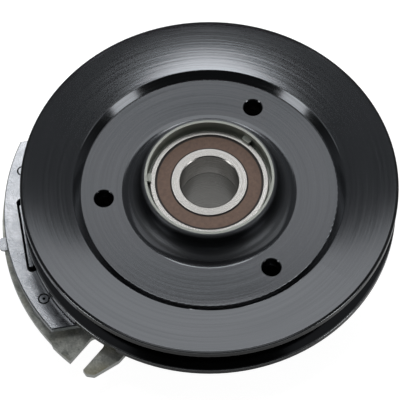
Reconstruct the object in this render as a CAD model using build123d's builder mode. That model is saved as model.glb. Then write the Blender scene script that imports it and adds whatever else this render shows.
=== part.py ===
from build123d import *
from math import cos, radians, sin, tan
import os

# Electromagnetic clutch and brake with a single V-groove pulley, for the end of an engine's crankshaft.
# The field shell, its mounting flange and the brake plate stand still. The rotor turns with the crankshaft.
# The pulley runs on its own bearing and carries the armature on three leaf springs. The coil pulls the
# armature down on to the rotor; without current the springs lift it against the brake plate.
#
# Millimetres. The origin is on the shaft axis at the engine end of the hub, and +Z runs to the pulley's
# nose. The anti-rotation slot of the flange opens along -Y, and the terminals face +Y.

os.makedirs("parts", exist_ok=True)

# Crankshaft seat and rotor hub
bore_radius = 12.7
key_width = 6.35
key_depth = 2.4
hub_wall = 4.8
hub_length = 44.5
hub_bore_chamfer = 1.0
hub_shoulder_height = 3.0
disc_seat_step = 2.0

# Sealed ball bearings
pulley_bearing_radius = 26.0
pulley_bearing_width = 15.0
pulley_ball_radius = 3.97
pulley_ball_count = 9
field_bearing_radius = 31.0
field_bearing_width = 14.0
field_bearing_setback = 2.0
field_ball_radius = 3.97
field_ball_count = 11
bearing_chamfer = 0.4
bearing_land_offset = 2.91
seal_seat_offset = 4.41
seal_setback = 0.46
seal_thickness = 1.1
ball_clearance = 0.08
seal_lip_gap = 0.08
cage_thickness = 2.5
cage_side_wall = 1.1
cage_pocket_gap = 0.2

# Retaining rings
snap_ring_thickness = 1.2
snap_ring_height = 2.4
snap_ring_groove_depth = 1.1
snap_ring_gap_angle = 34.0

# Pulley
pulley_radius = 82.55
rim_width = 20.7
rim_land_width = 3.35
rim_edge_radius = 0.4
rim_bead_width = 1.3
groove_depth = 12.5
groove_half_angle = 18.0
cone_outer_drop = 0.5
cone_width = 22.71
cone_inner_drop = 5.08
step_width = 3.32
web_drop = 8.07
web_thickness = 6.4
web_hole_radius = 4.1
web_hole_circle_radius = 46.4
web_hole_azimuth = 103.4
web_hole_chamfer = 0.4
nose_rise = 4.3
nose_radius = 29.9
nose_rounding = 1.6
nose_fillet = 8.5
nose_recess_radius = 27.15
nose_recess_depth = 2.2
bearing_nose_setback = 0.5
bearing_shoulder_radius = 24.3
bearing_shoulder_height = 1.5
pulley_hub_back_radius = 34.0
groove_back_wall = 4.55
back_recess_roof_drop = 5.2
stake_azimuths = (89.5, 215.0, 332.0)
stake_width = 4.0
stake_reach = 1.9
stake_height = 1.5

# Armature, leaf springs and their rivets
armature_inner_radius = 34.0
armature_outer_radius = 74.0
armature_thickness = 5.5
armature_slot_radius = 43.6
armature_slot_width = 3.0
armature_slot_span = 52.0
spring_count = 3
spring_width = 13.0
spring_thickness = 0.8
spring_rise = 2.6
spring_pad_length = 8.0
spring_boss_radius = 7.5
rivet_radius = 2.6
rivet_head_radius = 4.8
rivet_head_height = 1.7
rivet_hole_gap = 0.15
rivet_flush_recess = 0.2
spring_rivet_grip = 7.0

# Rotor disc
rotor_side_gap = 0.5
rotor_thickness = 6.0
rotor_air_gap = 0.5
inner_slot_offset = 2.1
outer_pole_width = 7.3
rotor_slot_width = 3.2
rotor_slot_span = 78.0
rotor_slot_count = 4
friction_side_land = 2.0
friction_depth = 2.6

# Field shell, coil and mounting flange
coil_space_width = 22.5
shell_wall = 3.0
shell_floor = 3.5
shell_bend_radius = 4.0
shell_rim_drop = 1.6
pole_wall = 4.5
pole_gap = 0.6
bearing_stop_height = 1.5
bearing_stop_lip = 2.5
bobbin_wall = 1.2
coil_side_gap = 0.3
coil_top_fill = 1.6
winding_gap = 0.4
flange_thickness = 3.0
flange_ring_width = 12.5
flange_lobe_reach = 19.1
flange_lug_reach = 19.7
flange_lobe_start = 197.0
flange_lug_start = 260.2
flange_step_angle = 1.2
slot_width = 7.0
slot_end_reach = 2.7
prong_corners = ((3.5, 19.2), (5.8, 19.9), (8.9, 18.2), (12.95, 6.3), (13.2, -5.5))
prong_tip_rounding = 1.4
prong_root_fillet = 2.5
crease_setback = 1.2
crease_width = 0.9
crease_depth = 0.5
crease_span = 4.6

# Brake plate and its supports
brake_azimuth = 228.6
brake_plate_radius = 91.2
brake_plate_inner_radius = 62.0
brake_plate_inner_cut = 55.0
brake_plate_half_length = 47.5
brake_plate_thickness = 3.0
brake_plate_chamfer = 0.45
brake_pulley_gap = 1.6
brake_gap = 0.1
brake_slot_middle = 81.8
brake_slot_width = 4.6
brake_slot_length = 37.2
brake_rivet_reach = 79.0
brake_rivet_spread = 32.3
brake_rivet_radius = 2.6
brake_rivet_tip_radius = 1.95
brake_rivet_hollow_radius = 0.6
brake_rivet_recess = 1.6
brake_rivet_head_radius = 4.6
brake_rivet_head_height = 1.6
bracket_thickness = 2.1
bracket_armature_gap = 1.4
bracket_outer_radius = 89.6
bracket_half_length = 42.0
tongue_outer = 82.95
tongue_thickness = 1.6
tongue_half_length = 15.6
tongue_corner = 0.6
tongue_drop = 0.6
shim_thickness = 1.2
shim_outer_radius = 89.0
shim_half_length = 40.0
shim_tab_reach = 94.6
shim_tab_width = 6.3
shim_notch_width = 6.4
spacer_radius = 5.4

# Terminal housing
terminal_width = 21.0
terminal_height = 13.0
terminal_depth = 15.0
terminal_bottom = 5.0
terminal_wall = 1.7
terminal_base = 4.5
terminal_corner = 1.5
stub_width = 11.6
stub_height = 6.6
stub_gap = 0.2
blade_width = 6.3
blade_thickness = 0.8
blade_spacing = 9.4
blade_length = 14.0
blade_tip_setback = 2.0
lead_radius = 1.1

# Heights that follow from the stack, counted up from the hub's engine end
pulley_bearing_top = hub_length + pulley_bearing_width
rim_top = pulley_bearing_top + bearing_nose_setback
rim_bottom = rim_top - rim_width
nose_top = rim_top + nose_rise
web_top = rim_top - web_drop
web_bottom = web_top - web_thickness
brake_top = rim_bottom - brake_pulley_gap
brake_bottom = brake_top - brake_plate_thickness
armature_top = brake_bottom - brake_gap
armature_bottom = armature_top - armature_thickness
rotor_top = armature_bottom - rotor_air_gap
rotor_bottom = rotor_top - rotor_thickness
shell_height = rotor_top - shell_rim_drop
pole_height = rotor_bottom - pole_gap
flange_bottom = shell_height - flange_thickness
bracket_bottom = brake_bottom - bracket_thickness
shim_bottom = bracket_bottom - shim_thickness
spring_boss_bottom = armature_top + spring_thickness + spring_rise
terminal_middle = terminal_bottom + terminal_height / 2

# Radii that follow from their neighbours
pole_radius = field_bearing_radius + pole_wall
shell_radius = pole_radius + coil_space_width + shell_wall
rotor_radius = shell_radius - shell_wall - rotor_side_gap
inner_slot_radius = pole_radius + inner_slot_offset
outer_slot_radius = rotor_radius - outer_pole_width
friction_inner_radius = inner_slot_radius + rotor_slot_width / 2 + friction_side_land
friction_outer_radius = outer_slot_radius - rotor_slot_width / 2 - friction_side_land
flange_ring_radius = shell_radius + flange_ring_width
flange_lobe_radius = flange_ring_radius + flange_lobe_reach
flange_lug_radius = flange_ring_radius + flange_lug_reach
slot_end_radius = flange_ring_radius + slot_end_reach
prong_outline = [(across, -flange_ring_radius - beyond) for across, beyond in prong_corners]
crease_radius = flange_lobe_radius - crease_setback
bracket_inner_radius = armature_outer_radius + bracket_armature_gap
cone_inner_radius = pulley_radius - cone_width
web_outer_radius = cone_inner_radius - step_width
groove_bottom_radius = pulley_radius - groove_depth
back_recess_radius = groove_bottom_radius - groove_back_wall
brake_rivet_places = ((brake_rivet_reach, -brake_rivet_spread), (brake_rivet_reach, brake_rivet_spread))


def polar(radius, azimuth):
    """A point in the plane at a radius and an azimuth in degrees."""
    return (radius * cos(radians(azimuth)), radius * sin(radians(azimuth)))


def turned_edges(piece, radius, height):
    """The circular edges of a turned piece at one radius and one height."""
    circles = piece.edges().filter_by(GeomType.CIRCLE)
    at_radius = circles.filter_by(lambda edge: abs(edge.radius - radius) < 0.01)
    return at_radius.filter_by(lambda edge: abs(edge.arc_center.Z - height) < 0.01)


def brake_plane(height):
    """A level plane turned so that its x axis is the brake plate's line of symmetry."""
    return Plane((0, 0, height), x_dir=(*polar(1, brake_azimuth), 0), z_dir=(0, 0, 1))


def save(piece, name):
    """Label a finished piece and write it to its own file."""
    piece.part.label = name
    export_step(piece.part, f"parts/{name}.step")


# ---------------------------------------------------------------------------------------------------
# Sealed deep-groove ball bearings: two rings, balls, a moulded cage and two rubber-faced seals each


class Bearing:
    """The sizes of one bearing, worked out from its bore, outside, width and balls."""

    def __init__(self, bore, outside, width, bottom, ball_radius, ball_count):
        self.bore = bore
        self.outside = outside
        self.width = width
        self.bottom = bottom
        self.top = bottom + width
        self.middle = bottom + width / 2
        self.ball_radius = ball_radius
        self.ball_count = ball_count
        self.pitch = (bore + outside) / 2
        self.race = ball_radius + ball_clearance
        self.inner_land = self.pitch - bearing_land_offset
        self.outer_land = self.pitch + bearing_land_offset
        self.seal_seat = self.pitch + seal_seat_offset


def make_inner_ring(bearing):
    """Ground steel ring with the ball track around its outside."""
    with BuildPart() as ring:
        with BuildSketch(Plane.XZ):
            with Locations(((bearing.bore + bearing.inner_land) / 2, bearing.middle)):
                Rectangle(bearing.inner_land - bearing.bore, bearing.width)
            chamfer(vertices().group_by(Axis.X)[0], bearing_chamfer)
            with Locations((bearing.pitch, bearing.middle)):
                Circle(bearing.race, mode=Mode.SUBTRACT)
        revolve(axis=Axis.Z)
    return ring


def make_outer_ring(bearing):
    """Ground steel ring with the ball track inside and a seat for a seal at each face."""
    seat_depth = seal_setback + seal_thickness
    seat_width = bearing.seal_seat - bearing.outer_land
    with BuildPart() as ring:
        with BuildSketch(Plane.XZ):
            with Locations(((bearing.outside + bearing.outer_land) / 2, bearing.middle)):
                Rectangle(bearing.outside - bearing.outer_land, bearing.width)
            chamfer(vertices().group_by(Axis.X)[-1], bearing_chamfer)
            with Locations((bearing.pitch, bearing.middle)):
                Circle(bearing.race, mode=Mode.SUBTRACT)
            seat_middle = bearing.outer_land + seat_width / 2
            low_seat = bearing.bottom + seat_depth / 2
            high_seat = bearing.top - seat_depth / 2
            with Locations((seat_middle, low_seat), (seat_middle, high_seat)):
                Rectangle(seat_width, seat_depth, mode=Mode.SUBTRACT)
        revolve(axis=Axis.Z)
    return ring


def make_seal(bearing, face_direction):
    """Rubber-faced disc seal, pressed into the outer ring and just clear of the inner ring."""
    inside = bearing.inner_land + seal_lip_gap
    face = bearing.top if face_direction > 0 else bearing.bottom
    middle = face - face_direction * (seal_setback + seal_thickness / 2)
    with BuildPart() as seal:
        with BuildSketch(Plane.XZ):
            with Locations(((inside + bearing.seal_seat) / 2, middle)):
                Rectangle(bearing.seal_seat - inside, seal_thickness)
            outer_face = vertices().sort_by(Axis.Y, reverse=face_direction > 0)[:2]
            chamfer(outer_face, seal_thickness / 4)
        revolve(axis=Axis.Z)
    return seal


def make_balls(bearing):
    """The ring of hardened steel balls."""
    with BuildPart() as balls:
        with Locations((0, 0, bearing.middle)):
            with PolarLocations(bearing.pitch, bearing.ball_count):
                Sphere(bearing.ball_radius)
    return balls


def make_cage(bearing):
    """Moulded ring with one round pocket for each ball."""
    pocket = bearing.ball_radius + cage_pocket_gap
    with BuildPart() as cage:
        with BuildSketch(Plane.XZ):
            with Locations((bearing.pitch, bearing.middle)):
                Rectangle(cage_thickness, 2 * (pocket + cage_side_wall))
        revolve(axis=Axis.Z)
        with Locations((0, 0, bearing.middle)):
            with PolarLocations(bearing.pitch, bearing.ball_count):
                Cylinder(pocket, 2 * cage_thickness, rotation=(0, 90, 0), mode=Mode.SUBTRACT)
    return cage


pulley_bearing = Bearing(
    bore_radius, pulley_bearing_radius, pulley_bearing_width, hub_length,
    pulley_ball_radius, pulley_ball_count
)
field_bearing = Bearing(
    bore_radius + hub_wall, field_bearing_radius, field_bearing_width, field_bearing_setback,
    field_ball_radius, field_ball_count
)

for name, bearing in (("pulley_bearing", pulley_bearing), ("field_bearing", field_bearing)):
    save(make_inner_ring(bearing), name + "_inner_ring")
    save(make_outer_ring(bearing), name + "_outer_ring")
    save(make_balls(bearing), name + "_balls")
    save(make_cage(bearing), name + "_cage")
    save(make_seal(bearing, 1), name + "_front_seal")
    save(make_seal(bearing, -1), name + "_rear_seal")


# ---------------------------------------------------------------------------------------------------
# Rotor: keyed hub, flux disc, friction ring and the ring that keeps the field bearing on the hub

hub_seat_radius = bore_radius + hub_wall
hub_shoulder_radius = hub_seat_radius + hub_shoulder_height
disc_seat_radius = hub_shoulder_radius - disc_seat_step
hub_nose_radius = pulley_bearing.inner_land - 2 * seal_lip_gap
external_groove_radius = hub_seat_radius - snap_ring_groove_depth
external_ring_top = field_bearing.bottom
external_ring_bottom = external_ring_top - snap_ring_thickness

with BuildPart() as rotor_hub:
    with BuildSketch(Plane.XZ):
        with BuildLine():
            Polyline(
                (bore_radius, 0),
                (hub_seat_radius, 0),
                (hub_seat_radius, external_ring_bottom),
                (external_groove_radius, external_ring_bottom),
                (external_groove_radius, external_ring_top),
                (hub_seat_radius, external_ring_top),
                (hub_seat_radius, field_bearing.top),
                (hub_shoulder_radius, field_bearing.top),
                (hub_shoulder_radius, rotor_bottom),
                (disc_seat_radius, rotor_bottom),
                (disc_seat_radius, rotor_top),
                (hub_nose_radius, rotor_top),
                (hub_nose_radius, hub_length),
                (bore_radius, hub_length),
                close=True,
            )
        make_face()
    revolve(axis=Axis.Z)
    chamfer(turned_edges(rotor_hub, bore_radius, 0), hub_bore_chamfer)
    with BuildSketch(Plane.XY):
        with Locations((0, -bore_radius)):
            Rectangle(key_width, 2 * key_depth)
    extrude(amount=hub_length, mode=Mode.SUBTRACT)
save(rotor_hub, "rotor_hub")

with BuildPart() as rotor_disc:
    with BuildSketch(Plane.XY.offset(rotor_bottom)):
        Circle(rotor_radius)
        Circle(disc_seat_radius, mode=Mode.SUBTRACT)
        for index in range(rotor_slot_count):
            start = 360 * index / rotor_slot_count - rotor_slot_span / 2
            inner_arc = CenterArc((0, 0), inner_slot_radius, start, rotor_slot_span)
            outer_arc = CenterArc((0, 0), outer_slot_radius, start, rotor_slot_span)
            SlotArc(inner_arc, rotor_slot_width, mode=Mode.SUBTRACT)
            SlotArc(outer_arc, rotor_slot_width, mode=Mode.SUBTRACT)
    extrude(amount=rotor_thickness)
    with BuildSketch(Plane.XY.offset(rotor_top)):
        Circle(friction_outer_radius)
        Circle(friction_inner_radius, mode=Mode.SUBTRACT)
    extrude(amount=-friction_depth, mode=Mode.SUBTRACT)
save(rotor_disc, "rotor_disc")

with BuildPart() as friction_ring:
    with BuildSketch(Plane.XY.offset(rotor_top - friction_depth)):
        Circle(friction_outer_radius)
        Circle(friction_inner_radius, mode=Mode.SUBTRACT)
    extrude(amount=friction_depth)
save(friction_ring, "friction_ring")

with BuildPart() as hub_retaining_ring:
    with BuildSketch(Plane.XY.offset(external_ring_bottom)):
        Circle(external_groove_radius + snap_ring_height)
        Circle(external_groove_radius, mode=Mode.SUBTRACT)
        with BuildLine():
            far = 2 * hub_shoulder_radius
            Polyline(
                (0, 0),
                polar(far, 90 - snap_ring_gap_angle / 2),
                polar(far, 90 + snap_ring_gap_angle / 2),
                close=True,
            )
        make_face(mode=Mode.SUBTRACT)
    extrude(amount=snap_ring_thickness)
save(hub_retaining_ring, "hub_retaining_ring")


# ---------------------------------------------------------------------------------------------------
# Field: drawn steel shell, coil on its bobbin, potting and the ring that keeps the bearing in the shell

internal_groove_radius = field_bearing_radius + snap_ring_groove_depth
bearing_stop_radius = field_bearing_radius - bearing_stop_lip
bearing_stop_top = field_bearing.top + bearing_stop_height

with BuildPart() as field_shell:
    with BuildSketch(Plane.XZ):
        with BuildLine():
            Polyline(
                (field_bearing_radius, 0),
                (shell_radius, 0),
                (shell_radius, shell_height),
                (shell_radius - shell_wall, shell_height),
                (shell_radius - shell_wall, shell_floor),
                (pole_radius, shell_floor),
                (pole_radius, pole_height),
                (field_bearing_radius, pole_height),
                (field_bearing_radius, bearing_stop_top),
                (bearing_stop_radius, bearing_stop_top),
                (bearing_stop_radius, field_bearing.top),
                (field_bearing_radius, field_bearing.top),
                (field_bearing_radius, external_ring_top),
                (internal_groove_radius, external_ring_top),
                (internal_groove_radius, external_ring_bottom),
                (field_bearing_radius, external_ring_bottom),
                close=True,
            )
        make_face()
    revolve(axis=Axis.Z)
    fillet(turned_edges(field_shell, shell_radius, 0), shell_bend_radius)
    with BuildSketch(Plane.XZ.offset(-shell_radius - 1)):
        with Locations((0, terminal_middle)):
            Rectangle(stub_width + 2 * stub_gap, stub_height + 2 * stub_gap)
    extrude(amount=shell_wall + 2, mode=Mode.SUBTRACT)
save(field_shell, "field_shell")

with BuildPart() as bearing_retaining_ring:
    with BuildSketch(Plane.XY.offset(external_ring_bottom)):
        Circle(internal_groove_radius)
        Circle(internal_groove_radius - snap_ring_height, mode=Mode.SUBTRACT)
        with BuildLine():
            far = 2 * internal_groove_radius
            Polyline(
                (0, 0),
                polar(far, 90 - snap_ring_gap_angle / 2),
                polar(far, 90 + snap_ring_gap_angle / 2),
                close=True,
            )
        make_face(mode=Mode.SUBTRACT)
    extrude(amount=snap_ring_thickness)
save(bearing_retaining_ring, "bearing_retaining_ring")

bobbin_inner = pole_radius + coil_side_gap
bobbin_outer = shell_radius - shell_wall - 2 * coil_side_gap
bobbin_top = pole_height - coil_top_fill
winding_inner = bobbin_inner + bobbin_wall
winding_outer = bobbin_outer - winding_gap

with BuildPart() as coil_bobbin:
    with BuildSketch(Plane.XZ):
        with BuildLine():
            Polyline(
                (bobbin_inner, shell_floor),
                (bobbin_outer, shell_floor),
                (bobbin_outer, shell_floor + bobbin_wall),
                (winding_inner, shell_floor + bobbin_wall),
                (winding_inner, bobbin_top - bobbin_wall),
                (bobbin_outer, bobbin_top - bobbin_wall),
                (bobbin_outer, bobbin_top),
                (bobbin_inner, bobbin_top),
                close=True,
            )
        make_face()
    revolve(axis=Axis.Z)
save(coil_bobbin, "coil_bobbin")

with BuildPart() as coil_winding:
    with BuildSketch(Plane.XY.offset(shell_floor + bobbin_wall)):
        Circle(winding_outer)
        Circle(winding_inner, mode=Mode.SUBTRACT)
    extrude(amount=bobbin_top - shell_floor - 2 * bobbin_wall)
save(coil_winding, "coil_winding")

with BuildPart() as coil_potting:
    with BuildSketch(Plane.XY.offset(bobbin_top)):
        Circle(shell_radius - shell_wall)
        Circle(pole_radius, mode=Mode.SUBTRACT)
    extrude(amount=pole_height - bobbin_top)
save(coil_potting, "coil_potting")

# Mounting flange: flat stamping with a lobe under the brake plate and a fork for the anti-rotation pin
with BuildPart() as mounting_flange:
    with BuildSketch(Plane.XY.offset(flange_bottom)):
        with BuildLine():
            lug_start = flange_lug_start + flange_step_angle
            Polyline((0, 0), polar(flange_lobe_radius, flange_lobe_start))
            CenterArc(
                (0, 0), flange_lobe_radius, flange_lobe_start, flange_lug_start - flange_lobe_start
            )
            Line(polar(flange_lobe_radius, flange_lug_start), polar(flange_lug_radius, lug_start))
            CenterArc((0, 0), flange_lug_radius, lug_start, 270 - lug_start)
            Polyline(polar(flange_lug_radius, 270), *prong_outline, (0, 0))
        make_face()
        tip_corners = [vertices().sort_by_distance(corner)[0] for corner in prong_outline[1:4]]
        fillet(tip_corners, prong_tip_rounding)
        Circle(flange_ring_radius)
        root_corner = vertices().sort_by_distance((prong_outline[3][0], -flange_ring_radius))[0]
        far_corner = vertices().sort_by_distance(polar(flange_ring_radius, flange_lobe_start))[0]
        fillet([root_corner, far_corner], prong_root_fillet)
        Circle(shell_radius, mode=Mode.SUBTRACT)
        slot_end_middle = -slot_end_radius - slot_width / 2
        with Locations((0, slot_end_middle)):
            Circle(slot_width / 2, mode=Mode.SUBTRACT)
        with Locations((0, slot_end_middle - flange_lug_radius / 2)):
            Rectangle(slot_width, flange_lug_radius, mode=Mode.SUBTRACT)
    extrude(amount=flange_thickness)
    with BuildSketch(brake_plane(flange_bottom)):
        with Locations(*brake_rivet_places):
            Circle(brake_rivet_radius)
    extrude(amount=flange_thickness, mode=Mode.SUBTRACT)
    with BuildSketch(Plane.XY.offset(shell_height)):
        SlotArc(CenterArc((0, 0), crease_radius, lug_start, crease_span), crease_width)
    extrude(amount=-crease_depth, mode=Mode.SUBTRACT)
save(mounting_flange, "mounting_flange")


# ---------------------------------------------------------------------------------------------------
# Brake: arc-shaped plate on two hollow rivets, with a tongued bracket, a re-gapping shim and spacers


def arc_blank(outer_radius, inner_radius, inner_cut, half_length):
    """Ring segment with straight ends, drawn in the open sketch of a brake piece."""
    Circle(outer_radius)
    Circle(inner_radius, mode=Mode.SUBTRACT)
    with Locations(((inner_cut + outer_radius) / 2, 0)):
        Rectangle(outer_radius - inner_cut, 2 * half_length, mode=Mode.INTERSECT)


with BuildPart() as brake_plate:
    with BuildSketch(brake_plane(brake_bottom)):
        arc_blank(
            brake_plate_radius, brake_plate_inner_radius, brake_plate_inner_cut, brake_plate_half_length
        )
        with Locations((brake_slot_middle, 0)):
            SlotOverall(brake_slot_length, brake_slot_width, rotation=90, mode=Mode.SUBTRACT)
        with Locations(*brake_rivet_places):
            Circle(brake_rivet_radius, mode=Mode.SUBTRACT)
    extrude(amount=brake_plate_thickness)
    top_wire = faces().sort_by(Axis.Z)[-1].outer_wire()
    chamfer(top_wire.edges(), brake_plate_chamfer)
save(brake_plate, "brake_plate")

with BuildPart() as brake_bracket:
    with BuildSketch(brake_plane(bracket_bottom)):
        arc_blank(bracket_outer_radius, bracket_inner_radius, brake_plate_inner_cut, bracket_half_length)
        with Locations(*brake_rivet_places):
            Circle(brake_rivet_radius, mode=Mode.SUBTRACT)
    extrude(amount=bracket_thickness)
    with BuildSketch(brake_plane(bracket_bottom)):
        with Locations((tongue_outer - tongue_thickness / 2, 0)):
            Rectangle(tongue_thickness, 2 * tongue_half_length)
        fillet(vertices(), tongue_corner)
    extrude(amount=brake_top - tongue_drop - bracket_bottom)
save(brake_bracket, "brake_bracket")

with BuildPart() as regap_shim:
    with BuildSketch(brake_plane(shim_bottom)):
        arc_blank(shim_outer_radius, bracket_inner_radius, brake_plate_inner_cut, shim_half_length)
        with Locations(((shim_outer_radius + shim_tab_reach) / 2 - 1, 0)):
            Rectangle(shim_tab_reach - shim_outer_radius + 2, shim_tab_width)
        tab_corners = vertices().group_by(Axis.X)[-1]
        fillet(tab_corners, shim_tab_width / 3)
        notch_length = brake_rivet_reach - brake_plate_inner_cut
        with Locations(*brake_rivet_places):
            Circle(shim_notch_width / 2, mode=Mode.SUBTRACT)
        notch_middle = brake_rivet_reach - notch_length / 2
        with Locations((notch_middle, -brake_rivet_spread), (notch_middle, brake_rivet_spread)):
            Rectangle(notch_length, shim_notch_width, mode=Mode.SUBTRACT)
    extrude(amount=shim_thickness)
save(regap_shim, "regap_shim")

with BuildPart() as brake_spacers:
    with BuildSketch(brake_plane(shell_height)):
        with Locations(*brake_rivet_places):
            Circle(spacer_radius)
            Circle(brake_rivet_radius, mode=Mode.SUBTRACT)
    extrude(amount=shim_bottom - shell_height)
save(brake_spacers, "brake_spacers")

with BuildPart() as brake_rivets:
    with BuildSketch(brake_plane(flange_bottom)):
        with Locations(*brake_rivet_places):
            Circle(brake_rivet_head_radius)
    extrude(amount=-brake_rivet_head_height)
    with BuildSketch(brake_plane(flange_bottom)):
        with Locations(*brake_rivet_places):
            Circle(brake_rivet_radius)
    extrude(amount=brake_top - brake_rivet_recess - flange_bottom)
    with BuildSketch(brake_plane(brake_top - brake_rivet_recess)):
        with Locations(*brake_rivet_places):
            Circle(brake_rivet_tip_radius)
    extrude(amount=brake_rivet_recess)
    with BuildSketch(brake_plane(brake_top)):
        with Locations(*brake_rivet_places):
            Circle(brake_rivet_hollow_radius)
    extrude(amount=-2 * brake_rivet_recess, mode=Mode.SUBTRACT)
save(brake_rivets, "brake_rivets")


# ---------------------------------------------------------------------------------------------------
# Terminals: moulded housing on the shell's side with two blades, and the coil's two leads

terminal_front = shell_radius + terminal_depth
blade_start = terminal_front - blade_tip_setback - blade_length
stub_back = shell_radius - shell_wall

with BuildPart() as terminal_blades:
    for side in (-1, 1):
        with Locations((side * blade_spacing / 2, blade_start + blade_length / 2, terminal_middle)):
            Box(blade_thickness, blade_length, blade_width)
save(terminal_blades, "terminal_blades")

with BuildPart() as terminal_housing:
    with BuildSketch(Plane.XZ.offset(-terminal_front)):
        with Locations((0, terminal_middle)):
            RectangleRounded(terminal_width, terminal_height, terminal_corner)
    extrude(amount=terminal_depth + shell_wall)
    Cylinder(shell_radius, 2 * shell_height, mode=Mode.SUBTRACT)
    with Locations((0, (stub_back + shell_radius + 1) / 2, terminal_middle)):
        Box(stub_width, shell_radius + 1 - stub_back, stub_height)
    with BuildSketch(Plane.XZ.offset(-terminal_front)):
        with Locations((0, terminal_middle)):
            Rectangle(terminal_width - 2 * terminal_wall, terminal_height - 2 * terminal_wall)
    extrude(amount=terminal_depth - terminal_base, mode=Mode.SUBTRACT)
    for side in (-1, 1):
        with Locations((side * blade_spacing / 2, blade_start + blade_length / 2, terminal_middle)):
            Box(blade_thickness, blade_length, blade_width, mode=Mode.SUBTRACT)
        with Locations((side * blade_spacing / 2, (stub_back + blade_start) / 2, terminal_middle)):
            Cylinder(
                lead_radius, blade_start - stub_back + 0.5, rotation=(90, 0, 0), mode=Mode.SUBTRACT
            )
save(terminal_housing, "terminal_housing")

with BuildPart() as coil_leads:
    for side in (-1, 1):
        with BuildSketch(Plane.XZ.offset(-blade_start)):
            with Locations((side * blade_spacing / 2, terminal_middle)):
                Circle(lead_radius)
        extrude(amount=blade_start - winding_outer)
    Cylinder(winding_outer, 4 * shell_height, mode=Mode.SUBTRACT)
save(coil_leads, "coil_leads")


# ---------------------------------------------------------------------------------------------------
# Armature: steel ring with arc slots, on three leaf springs under the pulley

spring_angle = 360 / spring_count / 2
chord_radius = web_hole_circle_radius * cos(radians(spring_angle / 2))
half_chord = web_hole_circle_radius * sin(radians(spring_angle / 2))
armature_rivet_azimuths = [web_hole_azimuth + 360 * index / spring_count for index in range(spring_count)]
spring_rivet_azimuths = [azimuth + spring_angle for azimuth in armature_rivet_azimuths]
armature_rivet_places = [polar(web_hole_circle_radius, azimuth) for azimuth in armature_rivet_azimuths]
spring_rivet_places = [polar(web_hole_circle_radius, azimuth) for azimuth in spring_rivet_azimuths]
sunk_height = rivet_head_radius - rivet_radius

with BuildPart() as armature:
    with BuildSketch(Plane.XY.offset(armature_bottom)):
        Circle(armature_outer_radius)
        Circle(armature_inner_radius, mode=Mode.SUBTRACT)
        for azimuth in spring_rivet_azimuths:
            start = azimuth - armature_slot_span / 2
            SlotArc(
                CenterArc((0, 0), armature_slot_radius, start, armature_slot_span),
                armature_slot_width, mode=Mode.SUBTRACT
            )
        with Locations(*armature_rivet_places):
            Circle(rivet_radius, mode=Mode.SUBTRACT)
    extrude(amount=armature_thickness)
    with Locations(*[(x, y, armature_bottom + sunk_height / 2) for x, y in armature_rivet_places]):
        Cone(rivet_head_radius, rivet_radius, sunk_height, mode=Mode.SUBTRACT)
save(armature, "armature")

with BuildPart() as armature_rivets:
    spring_top = armature_top + spring_thickness
    with Locations(*[(x, y, armature_bottom + sunk_height / 2) for x, y in armature_rivet_places]):
        Cone(rivet_head_radius, rivet_radius, sunk_height)
    with BuildSketch(Plane.XY.offset(armature_bottom + rivet_flush_recess)):
        with Locations(*armature_rivet_places):
            Circle(rivet_radius)
    extrude(amount=spring_top - armature_bottom)
    with BuildSketch(Plane.XY.offset(spring_top)):
        with Locations(*armature_rivet_places):
            Circle(rivet_head_radius)
    extrude(amount=rivet_head_height, taper=12)
    with BuildSketch(Plane.XY.offset(armature_bottom)):
        Circle(armature_outer_radius)
    extrude(amount=rivet_flush_recess, mode=Mode.SUBTRACT)
save(armature_rivets, "armature_rivets")

for index, azimuth in enumerate(armature_rivet_azimuths):
    middle = azimuth + spring_angle / 2
    outward = (*polar(1, middle), 0)
    along = (*polar(1, middle + 90), 0)
    side_plane = Plane((*polar(chord_radius, middle), 0), x_dir=along, z_dir=outward)
    pad = spring_width / 2
    low = armature_top
    high = spring_boss_bottom - spring_thickness
    with BuildPart() as leaf_spring:
        with BuildSketch(side_plane):
            with BuildLine():
                Polyline(
                    (-half_chord - pad, low),
                    (-half_chord + spring_pad_length, low),
                    (half_chord - spring_pad_length, high),
                    (half_chord + pad, high),
                    (half_chord + pad, high + spring_thickness),
                    (half_chord - spring_pad_length, high + spring_thickness),
                    (-half_chord + spring_pad_length, low + spring_thickness),
                    (-half_chord - pad, low + spring_thickness),
                    close=True,
                )
            make_face()
        extrude(amount=spring_width / 2, both=True)
        with BuildSketch(Plane(side_plane.origin, x_dir=along, z_dir=(0, 0, 1))):
            SlotCenterToCenter(2 * half_chord, spring_width)
            with Locations((-half_chord, 0)):
                Circle(rivet_radius + rivet_hole_gap, mode=Mode.SUBTRACT)
            with Locations((half_chord, 0)):
                Circle(rivet_radius, mode=Mode.SUBTRACT)
        extrude(amount=nose_top, mode=Mode.INTERSECT)
    save(leaf_spring, f"leaf_spring_{index + 1}")

with BuildPart() as spring_rivets:
    spring_bottom = spring_boss_bottom - spring_thickness
    with BuildSketch(Plane.XY.offset(spring_bottom)):
        with Locations(*spring_rivet_places):
            Circle(rivet_head_radius)
    extrude(amount=-rivet_head_height, taper=12)
    with BuildSketch(Plane.XY.offset(spring_bottom)):
        with Locations(*spring_rivet_places):
            Circle(rivet_radius)
    extrude(amount=spring_rivet_grip + spring_thickness)
save(spring_rivets, "spring_rivets")


# ---------------------------------------------------------------------------------------------------
# Pulley: machined steel, with the belt groove, a raised nose around its bearing and a thin web

flank_rise = groove_depth * tan(radians(groove_half_angle))
groove_top = rim_top - rim_land_width
groove_bottom = rim_bottom + rim_land_width
bead_radius = pulley_radius - rim_bead_width
cone_slope = (cone_inner_drop - cone_outer_drop) / (bead_radius - cone_inner_radius)
roof_height = rim_top - cone_inner_drop - back_recess_roof_drop
roof_outer_height = roof_height + cone_slope * (back_recess_radius - cone_inner_radius)
recess_height = pulley_bearing_top - nose_recess_depth
hub_back = pulley_bearing.bottom - bearing_shoulder_height

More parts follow.
